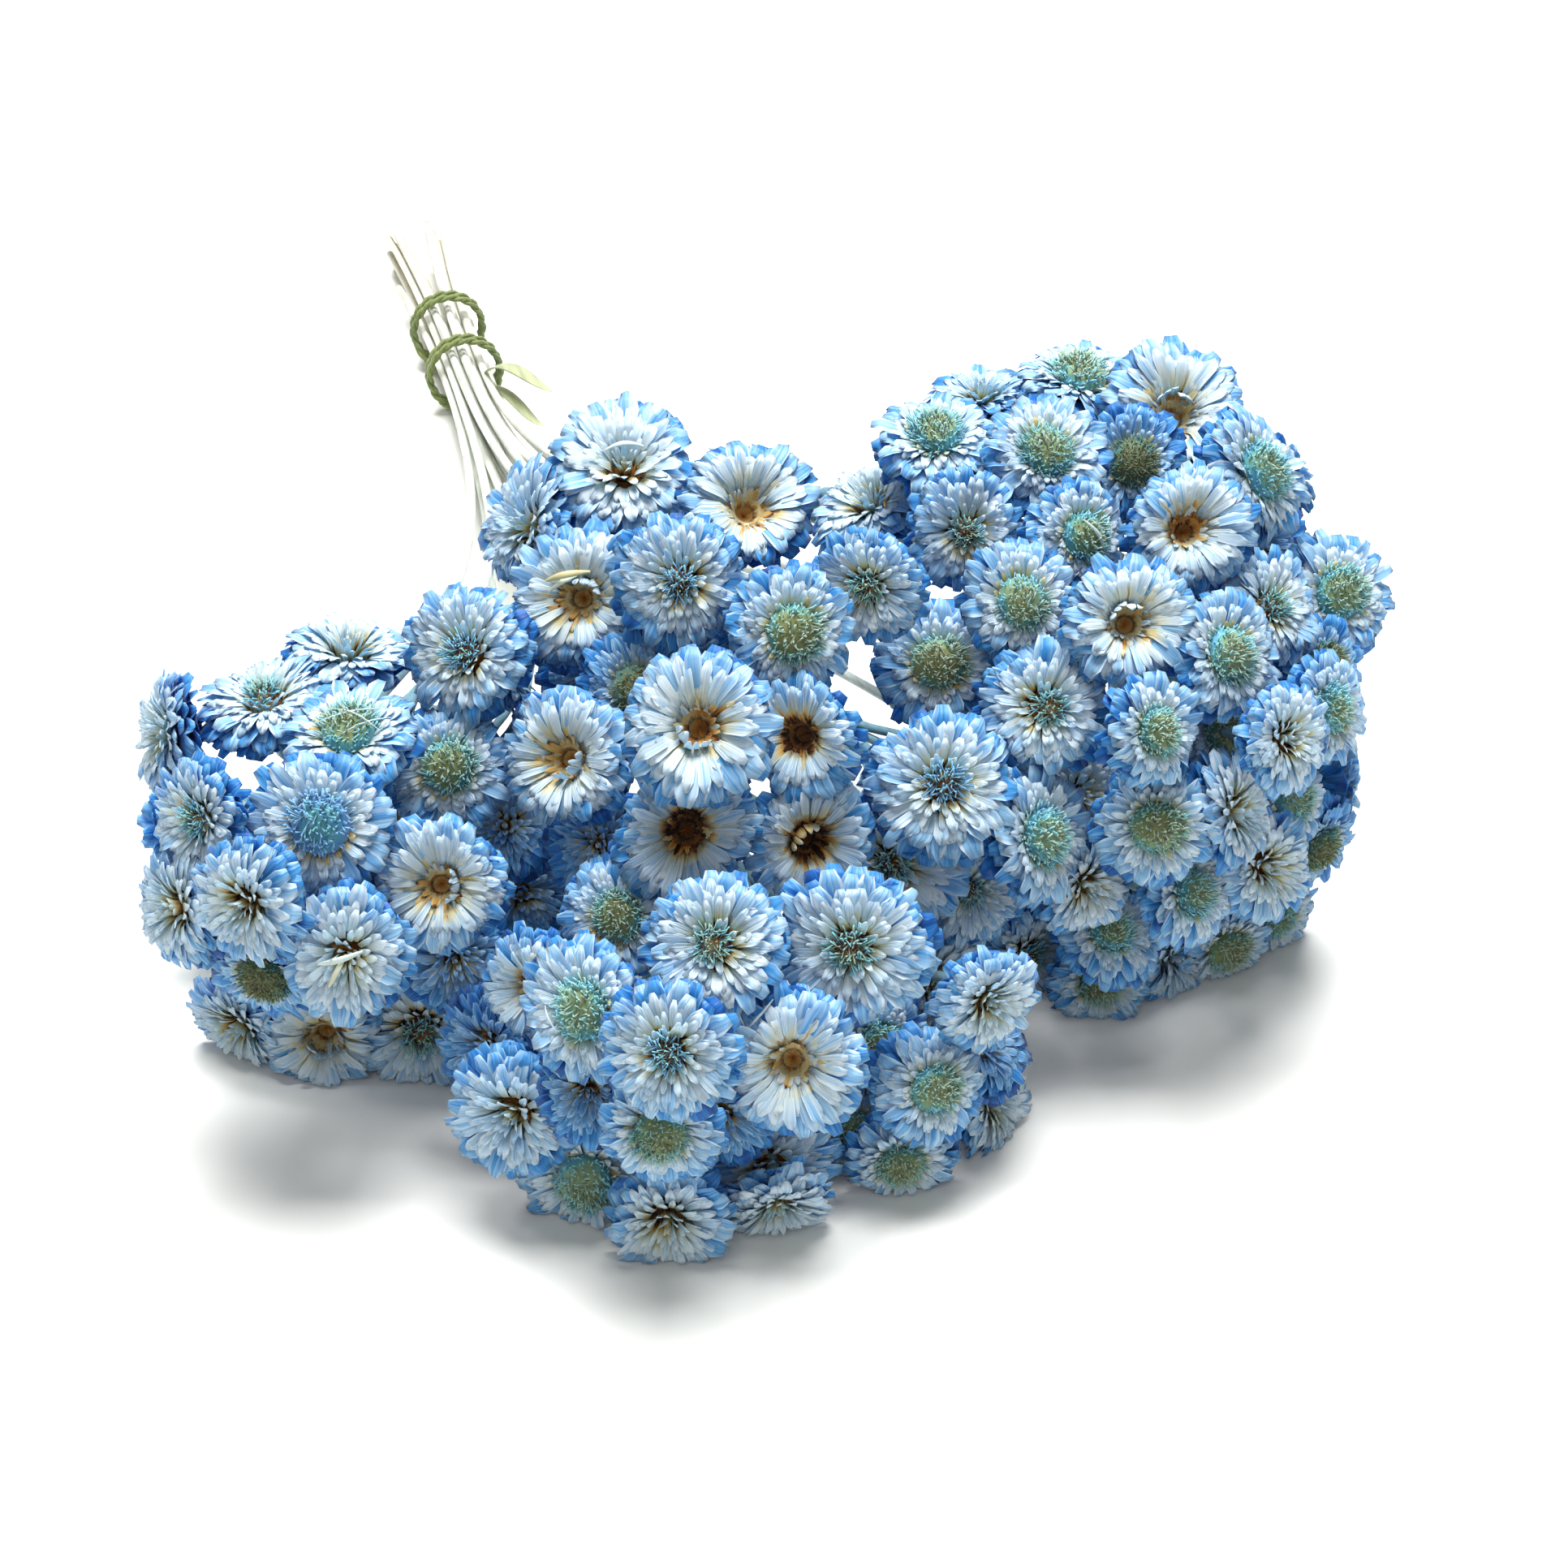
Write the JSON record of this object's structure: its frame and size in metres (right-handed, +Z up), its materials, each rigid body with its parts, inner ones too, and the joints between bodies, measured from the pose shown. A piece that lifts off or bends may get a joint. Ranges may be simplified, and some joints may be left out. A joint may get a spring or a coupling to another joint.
{
  "type": "dried everlasting daisy bunch",
  "caption": "Small tied bunch of dried, blue-dyed papery daisies lying on its side, with sprays of flower heads on pale stems held by twine.",
  "frame": {"origin": "on the surface it lies on, under the middle of the bunch's box", "axes": "+Z up, +Y along the stems from the flower heads to the cut ends, +X across the bunch"},
  "size_m": [0.1516, 0.2631, 0.0653],
  "materials": {
    "petals": "dry papery bracts, dyed blue",
    "stems": "dry pale sage stems, matte",
    "twine": "dull green twisted twine"
  },
  "bodies": {
    "root": {"left_outer_heads": "petals", "left_top_heads": "petals", "left_low_heads": "petals", "inner_left_heads": "petals", "middle_top_heads": "petals", "middle_right_heads": "petals", "middle_front_heads": "petals", "front_left_heads": "petals", "front_middle_heads": "petals", "front_low_heads": "petals", "front_right_heads": "petals", "between_heads": "petals", "right_top_heads": "petals", "right_back_heads": "petals", "right_middle_heads": "petals", "right_outer_heads": "petals", "right_low_heads": "petals", "right_under_heads": "petals", "left_outer_stem": "stems", "left_top_stem": "stems", "left_low_stem": "stems", "inner_left_stem": "stems", "middle_top_stem": "stems", "middle_right_stem": "stems", "middle_front_stem": "stems", "front_left_stem": "stems", "front_middle_stem": "stems", "front_low_stem": "stems", "front_right_stem": "stems", "between_stem": "stems", "right_top_stem": "stems", "right_back_stem": "stems", "right_middle_stem": "stems", "right_outer_stem": "stems", "right_low_stem": "stems", "right_under_stem": "stems", "twine": "twine"}
  },
  "joints": []
}
